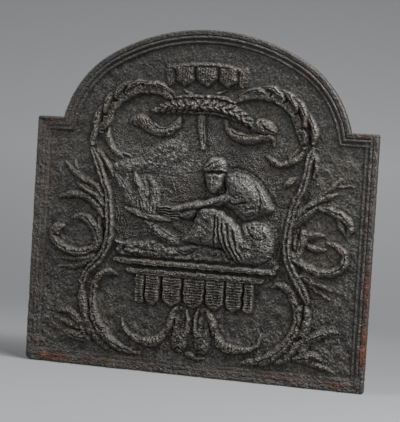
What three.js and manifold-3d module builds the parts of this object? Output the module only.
// Cast-iron fireback: a plate with an arched top and a moulded rim, dressed with a relief
// of leafy scrolls, tasselled valances and a cloaked figure warming both hands at a fire.
//
// Millimetres. +X runs to the viewer's right, +Y into the chimney wall, +Z up.
// The origin is the middle of the plate's bottom face, so the ground of the relief
// (the plate's front face) lies at Y = -PLATE_THICKNESS / 2.
import * as THREE from "three";
import Module from "manifold-3d";
import { mergeVertices } from "three/addons/utils/BufferGeometryUtils.js";

const wasm = await Module();
wasm.setup();

// ---------------------------------------------------------------- driving dimensions
const WIDTH = 700;
const HEIGHT = 685;
const PLATE_THICKNESS = 14;
const ARCH_RISE = 184; // from the shoulders to the crown
const SHOULDER_WIDTH = 55.5; // from each side to the foot of the arch
const SHOULDER_HEIGHT = HEIGHT - ARCH_RISE;
const ARCH_SPAN = WIDTH - 2 * SHOULDER_WIDTH;
const HAUNCH_RADIUS = 208;
const CHANGE_ANGLE = THREE.MathUtils.degToRad(30.5); // crown arc to haunch arc, from upright
const RIM_WIDTH = 28;
const RIM_HEIGHT = 8; // above the ground of the relief
const WORN_CORNER = 5;
const BROKEN_CORNER = 12; // the bottom left corner has lost more
const PIECE_GAP = 0.3; // between neighbours that are cut to each other
const CROWN_STEPS = 16;
const HAUNCH_STEPS = 8;
const STEPS_PER_SPAN = 2; // along a stroke of relief

// The relief is drawn on a plate of this size, and follows the plate when it grows.
const DRAWN_WIDTH = 700;
const DRAWN_HEIGHT = 685;
const SCALE_X = WIDTH / DRAWN_WIDTH;
const SCALE_Z = HEIGHT / DRAWN_HEIGHT;
const DRAWN_GAP = PIECE_GAP / Math.min(SCALE_X, SCALE_Z); // the gap, as it is drawn

const GROUND_Y = -PLATE_THICKNESS / 2;
const CUTTER_HEIGHT = 60; // taller than any relief
const CUTTER_DEPTH = 2; // reaches behind the ground

// ---------------------------------------------------------------- colours of the iron
const IRON = { ground: 0x3b3a39, rim: 0x453f3b, scroll: 0x474543, figure: 0x52504e, trim: 0x4b443e };

function ironMaterial(tone) {
  return new THREE.MeshStandardMaterial({ color: IRON[tone], roughness: 0.72, metalness: 0.55 });
}

// ---------------------------------------------------------------- solids and booleans
function toSolid(geometry) {
  const bare = geometry.clone();
  bare.deleteAttribute("normal");
  bare.deleteAttribute("uv");
  const merged = mergeVertices(bare, 1e-4);
  const mesh = new wasm.Mesh({
    numProp: 3,
    vertProperties: new Float32Array(merged.attributes.position.array),
    triVerts: new Uint32Array(merged.index.array),
  });
  return new wasm.Manifold(mesh);
}

function toGeometry(solid) {
  const mesh = solid.getMesh();
  const geometry = new THREE.BufferGeometry();
  const positions = new Float32Array(mesh.vertProperties);
  geometry.setAttribute("position", new THREE.BufferAttribute(positions, 3));
  geometry.setIndex(new THREE.BufferAttribute(new Uint32Array(mesh.triVerts), 1));
  geometry.computeVertexNormals();
  return geometry;
}

function joined(solids) {
  return solids.reduce((whole, solid) => whole.add(solid));
}

// ---------------------------------------------------------------- outline of the plate
// The top is a three-centred arch: a flat crown arc that runs into two tighter haunch arcs.
// The crown's radius follows from the span, the rise, the haunch radius and the change angle.
function archCentres() {
  const half = ARCH_SPAN / 2;
  const sine = Math.sin(CHANGE_ANGLE);
  const sag = 1 - Math.cos(CHANGE_ANGLE);
  const drop = ARCH_RISE - HAUNCH_RADIUS;
  const middle = half * sine + drop * sag;
  const rest = half ** 2 + drop ** 2 - HAUNCH_RADIUS ** 2;
  const difference = (middle - Math.sqrt(middle ** 2 - 2 * sag * rest)) / (2 * sag);
  const crownRadius = HAUNCH_RADIUS + difference;
  return {
    crownRadius,
    crown: new THREE.Vector2(0, HEIGHT - crownRadius),
    haunch: new THREE.Vector2(
      difference * sine,
      HEIGHT - crownRadius + difference * Math.cos(CHANGE_ANGLE),
    ),
  };
}

function arcPoints(centre, radius, fromAngle, toAngle, steps) {
  return Array.from({ length: steps + 1 }, (_, i) => {
    const angle = fromAngle + ((toAngle - fromAngle) * i) / steps;
    return new THREE.Vector2(
      centre.x + radius * Math.sin(angle),
      centre.y + radius * Math.cos(angle),
    );
  });
}

// Corner-to-corner runs of the outline, clockwise as seen from the front.
// Angles of the arcs are measured from upright.
function outlineRuns() {
  const { crownRadius, crown, haunch } = archCentres();
  const side = WIDTH / 2;
  const foot = ARCH_SPAN / 2;
  const leftHaunch = new THREE.Vector2(-haunch.x, haunch.y);
  const footAngle = Math.acos((SHOULDER_HEIGHT - haunch.y) / HAUNCH_RADIUS);
  const change = CHANGE_ANGLE;
  const at = (x, z) => new THREE.Vector2(x, z);
  return {
    rim_left: [at(-side, 0), at(-side, SHOULDER_HEIGHT)],
    rim_shoulder_left: [at(-side, SHOULDER_HEIGHT), at(-foot, SHOULDER_HEIGHT)],
    rim_haunch_left: arcPoints(leftHaunch, HAUNCH_RADIUS, -footAngle, -change, HAUNCH_STEPS),
    rim_crown: arcPoints(crown, crownRadius, -change, change, CROWN_STEPS),
    rim_haunch_right: arcPoints(haunch, HAUNCH_RADIUS, change, footAngle, HAUNCH_STEPS),
    rim_shoulder_right: [at(foot, SHOULDER_HEIGHT), at(side, SHOULDER_HEIGHT)],
    rim_right: [at(side, SHOULDER_HEIGHT), at(side, 0)],
    rim_bottom: [at(side, 0), at(-side, 0)],
  };
}

function outlinePoints() {
  return Object.values(outlineRuns()).flatMap((run) => run.slice(0, -1));
}

// A prism that takes the sharp point off one corner of the outline.
function wornCornerCutter(sideX, z, radius) {
  const inX = -Math.sign(sideX);
  const inZ = z > 0 ? -1 : 1;
  const over = 2;
  const centre = new THREE.Vector2(sideX + inX * radius, z + inZ * radius);
  const shape = new THREE.Shape();
  shape.moveTo(sideX - inX * over, centre.y);
  shape.lineTo(sideX - inX * over, z - inZ * over);
  shape.lineTo(centre.x, z - inZ * over);
  for (let i = 0; i <= 4; i += 1) {
    const angle = (Math.PI / 2) * (i / 4);
    shape.lineTo(
      centre.x - inX * radius * Math.sin(angle),
      centre.y - inZ * radius * Math.cos(angle),
    );
  }
  const depth = PLATE_THICKNESS + CUTTER_HEIGHT;
  const prism = new THREE.ExtrudeGeometry(shape, { depth, bevelEnabled: false });
  prism.translate(0, 0, -PLATE_THICKNESS - CUTTER_DEPTH);
  return toSolid(prism);
}

function wornCorners() {
  const side = WIDTH / 2;
  return joined([
    wornCornerCutter(-side, 0, BROKEN_CORNER),
    wornCornerCutter(side, 0, WORN_CORNER),
    wornCornerCutter(-side, SHOULDER_HEIGHT, WORN_CORNER),
    wornCornerCutter(side, SHOULDER_HEIGHT, WORN_CORNER),
  ]);
}

// ---------------------------------------------------------------- plate and rim
// Solids are built flat, with x and y in the plane of the plate and z as the height of
// the relief, then stood upright with the relief towards -Y.
function backPlate() {
  const shape = new THREE.Shape(outlinePoints());
  const slab = new THREE.ExtrudeGeometry(shape, { depth: PLATE_THICKNESS, bevelEnabled: false });
  slab.translate(0, 0, -PLATE_THICKNESS);
  return toSolid(slab).subtract(wornCorners());
}

// Section of the rim, as distance in from the edge and height above the ground:
// a flat outer band, a round bead between two quirks, and a low inner fillet.
function rimSection() {
  const unit = RIM_WIDTH / 28;
  const top = RIM_HEIGHT;
  return [
    [0, 0],
    [RIM_WIDTH, 0],
    [25.6 * unit, top - 4],
    [22 * unit, top - 3.6],
    [20.4 * unit, top - 5],
    [19 * unit, top - 1.6],
    [16 * unit, top - 0.4],
    [13 * unit, top - 1.6],
    [11.6 * unit, top - 4],
    [10.5 * unit, top - 0.6],
    [1.5 * unit, top],
    [0, top - 1.5],
  ].map(([inset, height]) => new THREE.Vector2(inset, height));
}

// Inward direction of the outline at each of its corners, long enough to keep a mitre true.
function mitreAt(points, index) {
  const count = points.length;
  const inward = (from, to) => {
    const along = to.clone().sub(from).normalize();
    return new THREE.Vector2(along.y, -along.x);
  };
  const before = inward(points[(index + count - 1) % count], points[index]);
  const after = inward(points[index], points[(index + 1) % count]);
  const scale = 1 / (1 + before.dot(after));
  return before.add(after).multiplyScalar(scale);
}

// Sweeps a section along one run of the outline, each end drawn back by a little.
function sweptRun(run, outline, section, pullBack) {
  const mitres = run.map((point) => {
    const index = outline.findIndex((other) => other.distanceTo(point) < 1e-6);
    return mitreAt(outline, index);
  });
  const stations = run.map((point) => point.clone());
  const last = run.length - 1;
  stations[0].lerp(run[1], pullBack / run[0].distanceTo(run[1]));
  stations[last].lerp(run[last - 1], pullBack / run[last].distanceTo(run[last - 1]));
  const rings = stations.map((point, i) =>
    section.map((s) => [point.x + mitres[i].x * s.x, point.y + mitres[i].y * s.x, s.y]),
  );
  return toSolid(loft(rings, section));
}

function rimRun(run, outline) {
  return sweptRun(run, outline, rimSection(), PIECE_GAP * 0.75);
}

// The strip that one run of the rim covers, grown by the gap: what cuts back the relief.
function rimCutter(run, outline) {
  const inner = RIM_WIDTH + PIECE_GAP;
  const strip = [[0, -CUTTER_DEPTH], [inner, -CUTTER_DEPTH], [inner, CUTTER_HEIGHT], [0, CUTTER_HEIGHT]];
  return sweptRun(run, outline, strip.map(([inset, height]) => new THREE.Vector2(inset, height)), 0);
}

// Closed mesh through rings of points that share one section.
function loft(rings, section) {
  const size = section.length;
  const index = [];
  for (let i = 0; i + 1 < rings.length; i += 1) {
    for (let j = 0; j < size; j += 1) {
      const a = i * size + j;
      const b = i * size + ((j + 1) % size);
      index.push(a, a + size, b, b, a + size, b + size);
    }
  }
  const far = (rings.length - 1) * size;
  THREE.ShapeUtils.triangulateShape(section, []).forEach(([a, b, c]) => {
    index.push(a, b, c);
    index.push(far + c, far + b, far + a);
  });
  const geometry = new THREE.BufferGeometry();
  geometry.setAttribute("position", new THREE.Float32BufferAttribute(rings.flat(2), 3));
  geometry.setIndex(index);
  return geometry;
}

// ---------------------------------------------------------------- strokes of relief
// A stroke is a ridge laid on the ground along a curve. Each of its stations is
// [x, z, half width, height]. A round stroke has a full back, a blade a single crest.
const ROUND_SECTION = [[1, 0], [0.72, 0.66], [0, 1], [-0.72, 0.66], [-1, 0]];
const BLADE_SECTION = [[1, 0], [0, 1], [-1, 0]];

function round(...stations) {
  return { section: ROUND_SECTION, stations };
}

function blade(...stations) {
  return { section: BLADE_SECTION, stations };
}

function catmullRom(a, b, c, d, t) {
  const square = t * t;
  const cube = square * t;
  return 0.5 * (2 * b + (c - a) * t + (2 * a - 5 * b + 4 * c - d) * square
    + (3 * b - a - 3 * c + d) * cube);
}

function smoothed(stations) {
  const last = stations.length - 1;
  const at = (i) => stations[THREE.MathUtils.clamp(i, 0, last)];
  const result = [];
  for (let i = 0; i < last; i += 1) {
    for (let step = 0; step < STEPS_PER_SPAN; step += 1) {
      const t = step / STEPS_PER_SPAN;
      const [before, from, to, after] = [at(i - 1), at(i), at(i + 1), at(i + 2)];
      result.push(from.map((_, k) => catmullRom(before[k], from[k], to[k], after[k], t)));
    }
  }
  result.push(at(last));
  return result.map(([x, z, half, height]) => ({ point: new THREE.Vector2(x, z), half, height }));
}

// Unit vector to the right of the stroke's direction at one of its points.
function sidewaysAt(path, i) {
  const from = path[Math.max(i - 1, 0)].point;
  const to = path[Math.min(i + 1, path.length - 1)].point;
  const along = to.clone().sub(from).normalize();
  return new THREE.Vector2(along.y, -along.x);
}

// How far each point's cross line runs to the right (+1) or left (-1) before it meets the
// cross line of a neighbour: on the inside of a tight bend the stroke is no wider than that.
function reachAt(path, sides, i, direction) {
  const KEEP = 0.9;
  let reach = Infinity;
  [i - 1, i + 1].filter((j) => path[j]).forEach((j) => {
    const turn = sides[i].cross(sides[j]);
    const step = path[j].point.clone().sub(path[i].point);
    const meets = (step.cross(sides[j]) / turn) * direction;
    if (Number.isFinite(meets) && meets > 0) reach = Math.min(reach, meets * KEEP);
  });
  return reach;
}

// Closed mesh along a stroke: section points are [across, up], across in half widths.
// The stroke is swept as drawn, then follows the plate's size.
function sweptStroke(path, section, extraWidth, heightOf) {
  const sides = path.map((_, i) => sidewaysAt(path, i));
  const rings = path.map(({ point, half, height }, i) => section.map(([across, up]) => {
    const direction = Math.sign(across);
    const width = Math.min(half + extraWidth, reachAt(path, sides, i, direction));
    return [
      (point.x + sides[i].x * width * across) * SCALE_X,
      (point.y + sides[i].y * width * across) * SCALE_Z,
      heightOf(height, up),
    ];
  }));
  return toSolid(loft(rings, section.map(([across, up]) => new THREE.Vector2(across, up))));
}

function strokeSolid({ section, stations }) {
  return sweptStroke(smoothed(stations), section, 0, (height, up) => height * up);
}

// The footprint of a stroke grown by the gap, as tall as any relief: what cuts back its
// neighbours.
const CUTTER_SECTION = [[1, 0], [1, 1], [-1, 1], [-1, 0]];

function strokeCutter({ stations }) {
  const path = smoothed(stations);
  const last = path.length - 1;
  const grow = (end, next) => {
    end.point.lerp(next.point, -DRAWN_GAP / end.point.distanceTo(next.point));
  };
  grow(path[0], path[1]);
  grow(path[last], path[last - 1]);
  const heightOf = (_, up) => (up ? CUTTER_HEIGHT : -CUTTER_DEPTH);
  return sweptStroke(path, CUTTER_SECTION, DRAWN_GAP, heightOf);
}

// ---------------------------------------------------------------- valances
const TASSEL_TOP = 191;
const TASSEL_BOTTOM = 134;
const TASSELS = [[-113, 8], [-85, 14], [-45, 18], [0, 18.5], [44, 18], [84, 14], [113, 8]];
const SCALLOP_TOP = 616;
const SCALLOP_BOTTOM = 574;
const SCALLOPS = [[-76, 11], [-44, 19], [0, 20], [44, 19], [74, 10]];
const EDGE_CROWN = 3; // how far the upper edge rises over the lappets, and falls at its ends
const EDGE_FALL = 5;
const LAPPET_RELIEF = 11;

// One hanging lappet: straight sides and a pointed round end.
function lappet(x, top, bottom, half, height) {
  const drop = top - bottom;
  return round(
    [x, top, half, height * 0.8],
    [x, top - drop * 0.45, half, height],
    [x, bottom + drop * 0.2, half * 0.86, height],
    [x, bottom, half * 0.2, height * 0.7],
  );
}

function topValance() {
  const [end, shoulder, middle] = [-EDGE_FALL, EDGE_CROWN / 3, EDGE_CROWN].map((rise) => SCALLOP_TOP + rise);
  const edge = round([-86, end, 5, 6], [-45, shoulder, 6, 9], [0, middle, 6, 10], [45, shoulder, 6, 9],
    [84, end, 5, 6]);
  const lappets = SCALLOPS.map(([x, half]) => lappet(x, SCALLOP_TOP, SCALLOP_BOTTOM, half, LAPPET_RELIEF));
  return [edge, ...lappets];
}

// ---------------------------------------------------------------- garland and pendant
const garland = [
  round([-101, 524, 5, 8], [-80, 532, 10, 13], [-50, 540, 13, 15], [-10, 543, 14, 16],
    [30, 540, 14, 16], [65, 528, 13, 14], [98, 511, 8, 9]),
  blade([-92, 512, 4, 6], [-60, 520, 6, 10], [-20, 523, 7, 12], [25, 522, 7, 12], [60, 512, 6, 9],
    [88, 500, 3, 5]),
  blade([-46, 566, 2, 3], [-34, 560, 4, 7], [-18, 550, 5, 9]),
  blade([42, 568, 2, 3], [28, 562, 4, 7], [12, 550, 5, 9]),
];
const garlandEndLeft = [
  round([-50, 508, 5, 8], [-56, 494, 7, 11], [-72, 482, 8, 13], [-92, 480, 9, 14], [-110, 489, 11, 15],
    [-128, 500, 12, 15], [-143, 500, 8, 11], [-150, 496, 4, 7]),
];
const garlandEndRight = [
  round([45, 506, 5, 8], [55, 490, 7, 11], [72, 478, 9, 13], [93, 474, 9, 14], [112, 478, 9, 14],
    [133, 480, 6, 10]),
  round([106, 494, 8, 12], [118, 499, 15, 16], [132, 498, 13, 14], [142, 496, 6, 9]),
  blade([134, 484, 4, 8], [142, 476, 3, 6], [143, 464, 1.5, 3]),
];
const pendant = [
  round([-4, 514, 12, 9], [-3, 498, 9, 11], [0, 478, 7, 11], [1, 460, 5, 9], [2, 448, 2, 5]),
];

// ---------------------------------------------------------------- leafy scrolls
const scrollTopLeft = [
  round([-70, 546, 4, 7], [-84, 556, 6, 10], [-104, 562, 7, 11], [-128, 561, 7, 11], [-152, 553, 7, 11],
    [-174, 538, 7, 10], [-190, 518, 6, 9], [-200, 498, 5, 8]),
  blade([-61, 551, 2, 4], [-74, 565, 5, 9], [-95, 574, 7, 12], [-118, 578, 7, 13], [-140, 572, 6, 12],
    [-158, 560, 3, 6]),
  blade([-138, 574, 4, 8], [-158, 571, 6, 12], [-176, 562, 7, 14], [-186, 548, 6, 12],
    [-185, 539, 3, 7]),
  blade([-180, 560, 4, 8], [-193, 548, 7, 12], [-200, 532, 8, 14], [-206, 515, 6, 12],
    [-208, 505, 3, 7]),
  blade([-206, 530, 4, 8], [-217, 512, 6, 11], [-223, 495, 7, 13], [-224, 480, 5, 11],
    [-222, 472, 3, 7]),
  blade([-192, 508, 4, 8], [-197, 494, 5, 11], [-204, 482, 4, 10], [-207, 476, 2, 5]),
  blade([-214, 486, 6, 8], [-224, 470, 7, 11], [-228, 455, 5, 11], [-229, 443, 3, 7]),
];
const scrollTopRight = [
  round([68, 550, 4, 7], [86, 558, 6, 9], [112, 562, 6, 10], [138, 559, 7, 11], [160, 549, 7, 11],
    [178, 530, 7, 10], [190, 506, 7, 9], [197, 486, 6, 8]),
  blade([64, 554, 2, 4], [84, 567, 5, 8], [106, 573, 6, 10], [126, 570, 5, 9], [140, 560, 3, 6]),
  blade([118, 578, 4, 7], [138, 574, 6, 12], [154, 566, 7, 13], [163, 555, 4, 8]),
  blade([152, 574, 4, 8], [172, 562, 7, 12], [184, 546, 7, 14], [190, 530, 5, 11], [192, 524, 3, 6]),
  blade([180, 560, 4, 8], [196, 542, 7, 12], [205, 524, 7, 14], [204, 508, 5, 11], [200, 500, 3, 6]),
  blade([208, 530, 4, 8], [218, 512, 6, 11], [225, 494, 7, 13], [223, 476, 5, 11], [219, 465, 3, 6]),
  blade([200, 502, 4, 7], [205, 486, 5, 10], [204, 472, 4, 9], [202, 466, 2, 5]),
];
const hookLeft = [
  round([-197, 476, 3, 5], [-196, 462, 5, 9], [-189, 448, 5, 10], [-178, 436, 5, 10],
    [-164, 425, 3, 7]),
];
const hookRight = [
  round([202, 456, 3, 5], [194, 444, 5, 9], [180, 437, 5, 10], [164, 430, 6, 10], [148, 434, 5, 9],
    [132, 444, 3, 6]),
];
const budRight = [
  round([172, 389, 4, 6], [179, 396, 6, 10], [186, 402, 4, 6]),
];

// ---------------------------------------------------------------- side stems
const stemLeft = [
  round([-230, 436, 4, 6], [-221, 424, 6, 9], [-213, 404, 7, 11], [-203, 380, 7, 11],
    [-193, 358, 7, 11], [-188, 338, 6, 10]),
  round([-219, 434, 5, 7], [-203, 420, 6, 9], [-191, 404, 5, 8], [-184, 388, 3, 5]),
  round([-190, 344, 6, 9], [-187, 322, 8, 12], [-184, 300, 8, 13], [-183, 276, 8, 13],
    [-186, 250, 8, 13], [-196, 226, 8, 12], [-212, 206, 8, 11], [-227, 190, 7, 10], [-236, 172, 6, 9]),
];
const stemRight = [
  round([222, 462, 4, 6], [218, 444, 6, 9], [214, 420, 6, 10], [210, 396, 6, 10], [202, 374, 7, 10],
    [193, 354, 7, 11], [188, 336, 6, 10]),
  round([222, 458, 4, 6], [231, 444, 5, 9], [230, 426, 4, 8], [226, 412, 2, 4]),
  round([192, 344, 6, 9], [187, 322, 8, 11], [184, 300, 8, 12], [182, 276, 8, 13], [186, 250, 8, 13],
    [196, 226, 8, 12], [210, 204, 8, 11], [222, 184, 7, 10], [230, 168, 5, 8]),
];

// ---------------------------------------------------------------- side volutes and sprays
const voluteLeft = [
  round([-262, 300, 2, 5], [-245, 302, 5, 9], [-228, 294, 7, 11], [-214, 278, 7, 11],
    [-208, 258, 7, 11], [-212, 242, 6, 10]),
  round([-306, 266, 4, 6], [-302, 252, 5, 9], [-286, 240, 6, 11], [-266, 231, 6, 12],
    [-244, 230, 6, 11], [-224, 236, 6, 10], [-208, 246, 5, 9]),
  round([-308, 268, 4, 7], [-298, 273, 7, 10], [-286, 279, 4, 6]),
];
const leafletLeft = [
  blade([-280, 214, 2, 3], [-256, 213, 4, 6], [-236, 216, 5, 8], [-216, 221, 5, 7]),
  blade([-288, 196, 2, 3], [-262, 198, 4, 6], [-240, 206, 5, 7], [-219, 217, 5, 7]),
];
const voluteRight = [
  round([236, 350, 4, 6], [258, 348, 5, 9], [278, 342, 6, 11], [296, 331, 6, 11], [305, 316, 5, 9],
    [300, 300, 3, 6]),
  blade([282, 330, 3, 6], [288, 316, 4, 8], [296, 302, 3, 6]),
];
const voluteRightInner = [
  round([214, 300, 5, 8], [214, 284, 7, 11], [209, 268, 6, 10], [206, 250, 5, 9], [210, 240, 5, 8]),
  round([216, 288, 4, 7], [228, 296, 5, 9], [240, 299, 4, 8], [254, 298, 2, 4]),
  round([206, 246, 5, 8], [222, 236, 6, 10], [238, 229, 6, 12], [257, 226, 6, 12], [277, 229, 6, 11],
    [292, 240, 6, 10], [297, 256, 5, 9], [292, 271, 5, 9], [278, 281, 4, 8], [262, 284, 3, 5]),
];
const leafletRight = [
  blade([216, 216, 5, 7], [236, 208, 5, 8], [254, 202, 4, 7], [272, 193, 2, 3]),
  blade([216, 219, 5, 7], [236, 215, 4, 7], [256, 211, 2, 3]),
];
const curlRight = [
  round([222, 281, 3, 6], [231, 274, 5, 10], [244, 270, 4, 8], [259, 272, 2, 4]),
];
const sprayLeft = [
  blade([-284, 406, 2, 3], [-268, 391, 4, 7], [-250, 379, 5, 9], [-230, 371, 5, 9], [-212, 360, 6, 9],
    [-203, 346, 6, 9]),
  blade([-262, 378, 2, 3], [-248, 362, 5, 8], [-230, 353, 6, 10], [-214, 344, 7, 10],
    [-202, 332, 6, 9]),
  round([-294, 338, 2, 4], [-272, 344, 4, 7], [-250, 345, 5, 9], [-230, 339, 6, 10],
    [-211, 325, 7, 10]),
];
const sprayRight = [
  blade([278, 407, 2, 3], [268, 394, 4, 7], [256, 384, 3, 6], [244, 374, 4, 7], [228, 362, 4, 7]),
  blade([274, 379, 2, 3], [256, 372, 4, 7], [238, 363, 5, 9], [220, 350, 6, 11], [204, 336, 6, 11]),
  blade([258, 358, 2, 3], [240, 354, 4, 7], [222, 340, 7, 12], [206, 326, 7, 12], [196, 314, 5, 9]),
];

// ---------------------------------------------------------------- seated figure and its fire
const figureHead = [
  round([31, 408, 17, 19], [29, 395, 18, 22], [30, 380, 13, 20], [31, 367, 4, 12]),
];
const figureCap = [
  round([7, 414, 5, 13], [18, 419, 9, 19], [34, 424, 13, 22], [47, 428, 9, 18], [53, 420, 5, 12]),
];
const figureArms = [
  round([66, 362, 9, 17], [45, 353, 9, 19], [18, 345, 8, 19], [-12, 338, 8, 18], [-38, 331, 8, 17],
    [-54, 327, 7, 15]),
  blade([-46, 331, 4, 14], [-66, 332, 3.5, 13], [-86, 333, 2, 8]),
  blade([-46, 325, 4, 14], [-66, 324, 3.5, 13], [-85, 323, 2, 8]),
  blade([-44, 319, 4, 13], [-62, 317, 3.5, 12], [-80, 315, 2, 8]),
  round([-8, 329, 6, 14], [-20, 321, 9, 15], [-34, 317, 6, 12]),
];
const figureCloak = [
  round([52, 400, 12, 14], [76, 392, 20, 20], [102, 384, 23, 22], [124, 366, 20, 19],
    [142, 350, 11, 14], [151, 338, 5, 8]),
  round([56, 378, 14, 15], [76, 364, 20, 19], [100, 350, 21, 19], [122, 342, 15, 14]),
  round([62, 344, 9, 13], [80, 336, 12, 15], [104, 328, 12, 12], [126, 332, 9, 9]),
];
const figureRobe = [
  round([-4, 328, 7, 10], [14, 334, 11, 17], [35, 333, 13, 22], [58, 320, 14, 23], [79, 301, 14, 22],
    [96, 281, 12, 18], [107, 266, 8, 12]),
  round([14, 318, 15, 16], [9, 300, 17, 14], [6, 282, 17, 12], [5, 267, 14, 9]),
  blade([34, 322, 9, 15], [37, 294, 9, 12], [40, 262, 8, 9]),
  blade([52, 314, 10, 18], [59, 286, 10, 15], [70, 258, 9, 11], [86, 235, 6, 7]),
  blade([72, 302, 11, 19], [81, 274, 10, 15], [91, 248, 8, 11], [99, 232, 5, 7]),
];
const figureFoot = [
  blade([-38, 249, 3, 5], [-24, 250, 8, 11], [-6, 254, 8, 11], [10, 257, 5, 8]),
];
const bundle = [
  round([112, 300, 8, 11], [126, 304, 12, 15], [141, 293, 14, 17], [143, 272, 15, 18],
    [131, 254, 18, 17], [112, 246, 12, 12]),
  round([126, 296, 14, 14], [125, 276, 17, 15], [120, 256, 14, 13]),
];
const firePan = [
  round([-148, 323, 4, 7], [-130, 317, 7, 10], [-108, 310, 7, 11], [-84, 308, 7, 11], [-60, 308, 6, 10],
    [-40, 309, 4, 7]),
];
const flames = [
  blade([-104, 321, 12, 10], [-126, 333, 12, 12], [-142, 350, 9, 11], [-156, 368, 6, 9],
    [-172, 384, 4, 6], [-183, 396, 1.5, 3]),
  blade([-112, 330, 10, 12], [-120, 352, 8, 11], [-128, 374, 6, 9], [-134, 394, 2, 4]),
  blade([-96, 328, 10, 11], [-94, 348, 8, 9], [-100, 370, 6, 7], [-106, 388, 2, 3]),
];
const smoke = [
  round([-186, 404, 5, 5], [-164, 411, 9, 7], [-140, 409, 10, 8], [-120, 417, 11, 8],
    [-102, 430, 11, 8], [-86, 444, 8, 6], [-66, 450, 5, 4]),
];
const logs = [
  round([-104, 299, 4, 6], [-90, 289, 7, 10], [-74, 279, 9, 12], [-58, 271, 9, 12], [-44, 265, 6, 9]),
];
const rocks = [
  round([-168, 256, 3, 4], [-142, 252, 7, 9], [-116, 249, 10, 11], [-90, 251, 11, 12],
    [-66, 248, 9, 11], [-44, 240, 7, 8]),
  round([-152, 233, 4, 5], [-110, 234, 6, 8], [-60, 235, 6, 8], [-10, 235, 5, 7], [30, 239, 8, 9],
    [62, 237, 7, 8], [84, 230, 4, 5]),
];

// ---------------------------------------------------------------- console under the figure
const CORNICE_Z = 218;
const CORNICE_HALF = 7;
const BRACKET_Z = 199.5;
const BRACKET_HALF = 7;
const cornice = [
  round([-164, CORNICE_Z + 2, 4, 7], [-150, CORNICE_Z, CORNICE_HALF, 13],
    [0, CORNICE_Z, CORNICE_HALF, 14], [146, CORNICE_Z, CORNICE_HALF, 13], [156, CORNICE_Z + 1, 5, 9],
    [164, CORNICE_Z + 6, 5, 8], [168, CORNICE_Z + 12, 3, 5]),
];
const bracket = [
  round([-134, BRACKET_Z + 3, 3, 6], [-124, BRACKET_Z, BRACKET_HALF, 11],
    [0, BRACKET_Z, BRACKET_HALF, 12], [124, BRACKET_Z, BRACKET_HALF, 11], [134, BRACKET_Z + 3, 3, 6]),
];

// ---------------------------------------------------------------- lower scrolls and leaves
const leafPairLeft = [
  round([-34, 132, 4, 7], [-41, 118, 6, 11], [-45, 100, 6, 11], [-48, 86, 4, 8]),
  round([-13, 132, 3, 6], [-9, 118, 4, 9], [-8, 100, 5, 9], [-12, 82, 5, 8]),
  round([-24, 128, 10, 6], [-25, 100, 14, 7], [-26, 76, 15, 9], [-27, 62, 14, 12], [-28, 52, 8, 8]),
];
const leafPairRight = [
  round([34, 132, 4, 7], [40, 118, 6, 11], [44, 104, 6, 12], [44, 90, 4, 9]),
  round([11, 132, 3, 6], [7, 118, 4, 9], [7, 100, 5, 9], [12, 84, 5, 8]),
  round([22, 128, 10, 6], [23, 100, 13, 7], [24, 76, 14, 9], [24, 64, 13, 12], [24, 54, 8, 8]),
];
const bottomBud = [
  round([-8, 46, 3, 5], [3, 41, 7, 8], [12, 38, 5, 7], [28, 38, 3, 4]),
];
const scrollInnerLeft = [
  round([-54, 94, 3, 6], [-58, 80, 6, 11], [-70, 66, 9, 14], [-88, 60, 9, 14], [-108, 63, 6, 11],
    [-124, 70, 5, 10], [-138, 81, 4, 8], [-145, 92, 3, 6], [-146, 101, 2, 3]),
];
const scrollInnerRight = [
  round([52, 98, 3, 6], [55, 82, 6, 11], [66, 66, 9, 14], [84, 62, 8, 13], [106, 62, 6, 11],
    [124, 66, 5, 10], [136, 75, 4, 8], [140, 86, 3, 6], [140, 97, 2, 3]),
];
const scrollLowLeft = [
  round([-162, 189, 3, 5], [-176, 194, 5, 9], [-191, 191, 6, 10], [-203, 180, 6, 9], [-210, 164, 5, 8],
    [-212, 144, 5, 8], [-209, 118, 7, 11], [-202, 96, 8, 13], [-190, 76, 9, 14], [-172, 59, 9, 14],
    [-152, 46, 8, 12], [-132, 39, 6, 9], [-108, 37, 4, 5]),
  round([-233, 160, 4, 7], [-233, 138, 7, 9], [-227, 114, 9, 10], [-218, 92, 9, 10], [-207, 72, 9, 10],
    [-194, 56, 7, 9], [-178, 44, 6, 8]),
];
const scrollLowRight = [
  round([158, 190, 3, 5], [172, 195, 5, 9], [186, 192, 6, 10], [197, 180, 6, 9], [206, 162, 6, 9],
    [212, 142, 6, 9], [211, 118, 7, 11], [202, 94, 8, 13], [188, 74, 9, 14], [170, 58, 9, 14],
    [150, 46, 8, 12], [130, 40, 6, 8], [108, 37, 4, 5]),
  round([229, 156, 4, 7], [232, 136, 6, 9], [229, 114, 7, 10], [221, 94, 7, 10], [210, 76, 8, 10],
    [196, 58, 7, 9], [178, 46, 6, 8]),
];
const cornerSprayLeft = [
  blade([-222, 76, 5, 8], [-236, 90, 7, 11], [-250, 101, 6, 10], [-265, 108, 5, 8], [-284, 106, 2, 3]),
  blade([-216, 56, 5, 8], [-236, 59, 7, 10], [-256, 63, 6, 8], [-276, 72, 2, 3]),
  blade([-230, 72, 4, 8], [-250, 80, 5, 7], [-270, 86, 4, 5], [-290, 92, 2, 2.5]),
  round([-224, 56, 5, 8], [-228, 68, 6, 9], [-232, 82, 5, 8]),
];
const cornerSprayRight = [
  blade([222, 80, 5, 8], [236, 93, 7, 11], [252, 103, 6, 10], [270, 111, 5, 7], [290, 114, 2, 3]),
  blade([214, 54, 5, 8], [232, 59, 7, 10], [250, 63, 6, 8], [262, 60, 2, 3]),
  blade([226, 54, 4, 6], [248, 48, 4, 6], [268, 43, 4, 6], [284, 38, 2, 2.5]),
  round([224, 54, 5, 8], [227, 68, 6, 9], [232, 84, 5, 8]),
];

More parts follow.
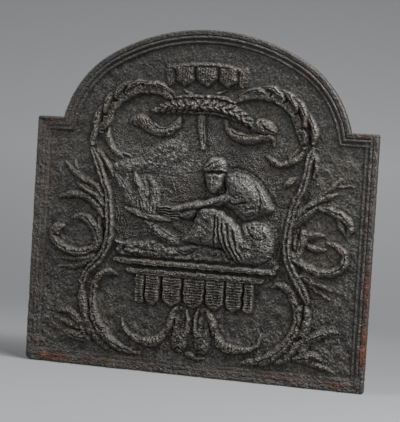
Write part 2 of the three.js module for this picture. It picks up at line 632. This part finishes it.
// ---------------------------------------------------------------- the whole relief
// Foremost first: each later piece is cut back where an earlier one covers it, and all of
// them where the rim does.
const tassels = TASSELS.map(([x, half], i) => [
  `tassel_${i + 1}`, [lappet(x, TASSEL_TOP, TASSEL_BOTTOM, half, LAPPET_RELIEF)], "trim",
]);
const RELIEF = [
  ["figure_cap", figureCap, "figure"],
  ["figure_head", figureHead, "figure"],
  ["figure_arms", figureArms, "figure"],
  ["figure_robe", figureRobe, "figure"],
  ["figure_cloak", figureCloak, "figure"],
  ["figure_foot", figureFoot, "figure"],
  ["bundle", bundle, "figure"],
  ["fire_pan", firePan, "figure"],
  ["flames", flames, "figure"],
  ["logs", logs, "figure"],
  ["cornice", cornice, "trim"],
  ["bracket", bracket, "trim"],
  ["rocks", rocks, "figure"],
  ...tassels,
  ["valance_top", topValance(), "trim"],
  ["garland", garland, "scroll"],
  ["garland_end_left", garlandEndLeft, "scroll"],
  ["garland_end_right", garlandEndRight, "scroll"],
  ["pendant", pendant, "scroll"],
  ["scroll_top_left", scrollTopLeft, "scroll"],
  ["scroll_top_right", scrollTopRight, "scroll"],
  ["stem_left", stemLeft, "scroll"],
  ["stem_right", stemRight, "scroll"],
  ["hook_left", hookLeft, "scroll"],
  ["hook_right", hookRight, "scroll"],
  ["bud_right", budRight, "scroll"],
  ["smoke", smoke, "figure"],
  ["spray_left", sprayLeft, "scroll"],
  ["spray_right", sprayRight, "scroll"],
  ["volute_left", voluteLeft, "scroll"],
  ["volute_right", voluteRight, "scroll"],
  ["curl_right", curlRight, "scroll"],
  ["volute_right_inner", voluteRightInner, "scroll"],
  ["leaflet_left", leafletLeft, "scroll"],
  ["leaflet_right", leafletRight, "scroll"],
  ["scroll_low_left", scrollLowLeft, "scroll"],
  ["scroll_low_right", scrollLowRight, "scroll"],
  ["leaf_pair_left", leafPairLeft, "scroll"],
  ["leaf_pair_right", leafPairRight, "scroll"],
  ["bottom_bud", bottomBud, "scroll"],
  ["scroll_inner_left", scrollInnerLeft, "scroll"],
  ["scroll_inner_right", scrollInnerRight, "scroll"],
  ["corner_spray_left", cornerSprayLeft, "scroll"],
  ["corner_spray_right", cornerSprayRight, "scroll"],
];

function footprintBox(strokes) {
  const box = new THREE.Box2();
  const scale = new THREE.Vector2(SCALE_X, SCALE_Z);
  const margin = 1;
  strokes.flatMap(({ stations }) => smoothed(stations)).forEach(({ point, half }) => {
    box.expandByPoint(point.clone().addScalar(half + margin).multiply(scale));
    box.expandByPoint(point.clone().subScalar(half + margin).multiply(scale));
  });
  return box;
}

function rimStrips() {
  const outline = outlinePoints();
  const grow = RIM_WIDTH + PIECE_GAP;
  return Object.values(outlineRuns()).map((run) => ({
    box: new THREE.Box2().setFromPoints(run).expandByScalar(grow),
    cutter: rimCutter(run, outline),
  }));
}

function reliefSolids() {
  const placed = rimStrips();
  return RELIEF.map(([name, strokes, tone]) => {
    const box = footprintBox(strokes);
    let solid = joined(strokes.map(strokeSolid));
    placed.filter((other) => other.box.intersectsBox(box)).forEach((other) => {
      solid = solid.subtract(other.cutter);
    });
    placed.push({ box, cutter: joined(strokes.map(strokeCutter)) });
    return [name, solid, tone];
  });
}

// ---------------------------------------------------------------- assembly
// Stands a flat-built solid upright: its height turns to -Y, its y to +Z.
function upright(name, solid, tone) {
  const geometry = toGeometry(solid);
  const position = geometry.attributes.position;
  for (let i = 0; i < position.count; i += 1) {
    position.setXYZ(i, position.getX(i), -position.getZ(i), position.getY(i));
  }
  geometry.computeVertexNormals();
  const mesh = new THREE.Mesh(geometry, ironMaterial(tone));
  mesh.name = name;
  return mesh;
}

function fireback() {
  const casting = new THREE.Group();
  casting.position.set(0, GROUND_Y, 0);
  casting.add(upright("back_plate", backPlate(), "ground"));
  const outline = outlinePoints();
  const corners = wornCorners();
  Object.entries(outlineRuns()).forEach(([name, run]) => {
    casting.add(upright(name, rimRun(run, outline).subtract(corners), "rim"));
  });
  reliefSolids().forEach(([name, solid, tone]) => casting.add(upright(name, solid, tone)));
  return casting;
}

export default fireback();
